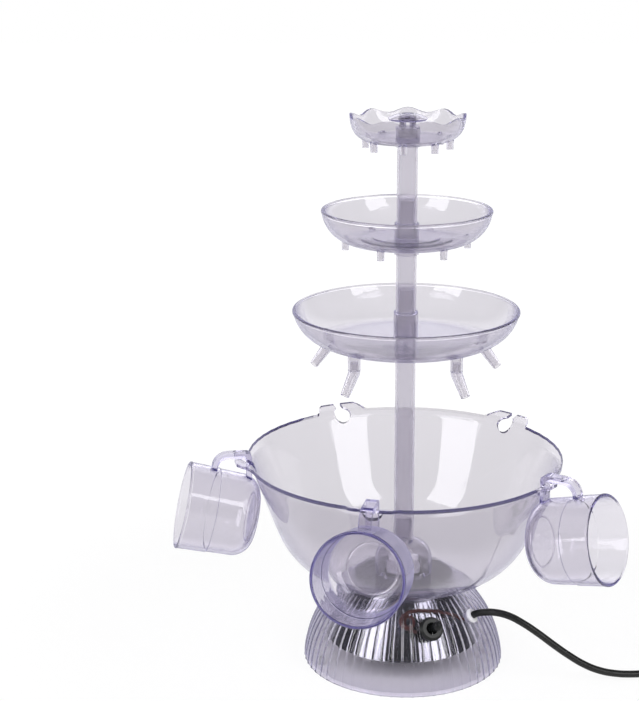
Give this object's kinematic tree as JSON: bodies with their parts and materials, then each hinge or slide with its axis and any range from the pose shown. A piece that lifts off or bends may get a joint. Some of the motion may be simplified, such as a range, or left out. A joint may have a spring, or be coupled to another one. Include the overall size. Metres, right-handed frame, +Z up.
{
  "type": "drinks fountain",
  "caption": "Tiered drinks fountain: a ribbed clear base with motor and switch, a wide bowl with cups hooked round its rim, and a plug-together column of stacked dishes.",
  "frame": {"origin": "on the column's axis, in the plane of the table the base stands on", "axes": "+Z up along the column, -Y towards the front of the fountain, +X to the right as seen from the front"},
  "size_m": [0.5188, 0.3312, 0.4709],
  "materials": {
    "clear_plastic": "clear, faintly lavender moulded plastic, glossy",
    "bright_sheet": "bright fluted reflector sheet",
    "white_plastic": "white moulded plastic",
    "white_rubber": "soft white rubber",
    "black_rubber": "black rubber, slight sheen",
    "black_plastic": "black moulded plastic",
    "steel": "plain steel",
    "pin_metal": "plated brass",
    "brown_insulation": "brown wire insulation"
  },
  "bodies": {
    "base": {"base_shell": "clear_plastic", "reflector": "bright_sheet", "bottom_plate": "white_plastic", "floor_pads": "black_rubber", "plate_screws": "steel", "motor_mount": "white_plastic", "motor_can": "steel", "motor_screws": "steel", "shaft_seal": "black_rubber", "switch_body": "black_plastic", "switch_nut": "black_plastic", "cord_grommet": "white_rubber", "lead_wires": "brown_insulation", "power_cord": "black_rubber", "cord_coil": "black_rubber", "coil_tie": "white_rubber", "plug_body": "black_rubber", "plug_pins": "pin_metal", "bowl": "clear_plastic", "bowl_gasket": "black_rubber", "lock_ring": "white_plastic"},
    "rotor": {"motor_shaft": "steel", "impeller": "white_plastic"},
    "lever": {"switch_lever": "black_plastic"},
    "pump_cover": {"pump_cover": "clear_plastic"},
    "lower_stage": {"lower_tube": "clear_plastic", "bottom_dish": "clear_plastic"},
    "middle_stage": {"mid_tube": "clear_plastic", "middle_dish": "clear_plastic"},
    "top_stage": {"upper_tube": "clear_plastic", "top_dish": "clear_plastic"},
    "cap": {"top_cap": "clear_plastic"},
    "cup_left": {"cup_left": "clear_plastic"},
    "cup_front": {"cup_front": "clear_plastic"},
    "cup_right": {"cup_right": "clear_plastic"},
    "spout_1": {"spout_1": "clear_plastic"},
    "spout_2": {"spout_2": "clear_plastic"},
    "spout_3": {"spout_3": "clear_plastic"},
    "spout_4": {"spout_4": "clear_plastic"},
    "spout_5": {"spout_5": "clear_plastic"}
  },
  "joints": [
    {"name": "impeller_spin", "type": "hinge", "parent": "base", "child": "rotor", "pos_m": [0, 0, 0.09], "axis": [0, 0, 1], "continuous": true},
    {"name": "switch_throw", "type": "hinge", "parent": "base", "child": "lever", "pos_m": [0.02325, -0.06387, 0.05188], "axis": [0.2016, -0.5539, -0.8078], "range_deg": [0, 24]},
    {"name": "cup_left_swing", "type": "hinge", "parent": "base", "child": "cup_left", "pos_m": [-0.13521, -0.02384, 0.185], "axis": [-0.1736, 0.9848, 0], "range_deg": [0, 18]},
    {"name": "cup_front_swing", "type": "hinge", "parent": "base", "child": "cup_front", "pos_m": [-0.02502, -0.135, 0.185], "axis": [-0.9833, 0.1822, 0], "range_deg": [0, 18]},
    {"name": "cup_right_swing", "type": "hinge", "parent": "base", "child": "cup_right", "pos_m": [0.11769, -0.07071, 0.185], "axis": [-0.515, -0.8572, 0], "range_deg": [0, 18]},
    {"name": "cover_lift", "type": "slide", "parent": "base", "child": "pump_cover", "axis": [0, 0, 1], "range_m": [0, 0.06]},
    {"name": "lower_stage_lift", "type": "slide", "parent": "pump_cover", "child": "lower_stage", "axis": [0, 0, 1], "range_m": [0, 0.05]},
    {"name": "middle_stage_lift", "type": "slide", "parent": "lower_stage", "child": "middle_stage", "axis": [0, 0, 1], "range_m": [0, 0.05]},
    {"name": "top_stage_lift", "type": "slide", "parent": "middle_stage", "child": "top_stage", "axis": [0, 0, 1], "range_m": [0, 0.05]},
    {"name": "cap_lift", "type": "slide", "parent": "top_stage", "child": "cap", "axis": [0, 0, 1], "range_m": [0, 0.025]},
    {"name": "spout_1_swivel", "type": "hinge", "parent": "lower_stage", "child": "spout_1", "pos_m": [0, 0.0694, 0.272], "axis": [0, 0, 1], "continuous": true},
    {"name": "spout_2_swivel", "type": "hinge", "parent": "lower_stage", "child": "spout_2", "pos_m": [-0.066, 0.02145, 0.272], "axis": [0, 0, 1], "continuous": true},
    {"name": "spout_3_swivel", "type": "hinge", "parent": "lower_stage", "child": "spout_3", "pos_m": [-0.04079, -0.05615, 0.272], "axis": [0, 0, 1], "continuous": true},
    {"name": "spout_4_swivel", "type": "hinge", "parent": "lower_stage", "child": "spout_4", "pos_m": [0.04079, -0.05615, 0.272], "axis": [0, 0, 1], "continuous": true},
    {"name": "spout_5_swivel", "type": "hinge", "parent": "lower_stage", "child": "spout_5", "pos_m": [0.066, 0.02145, 0.272], "axis": [0, 0, 1], "continuous": true}
  ]
}
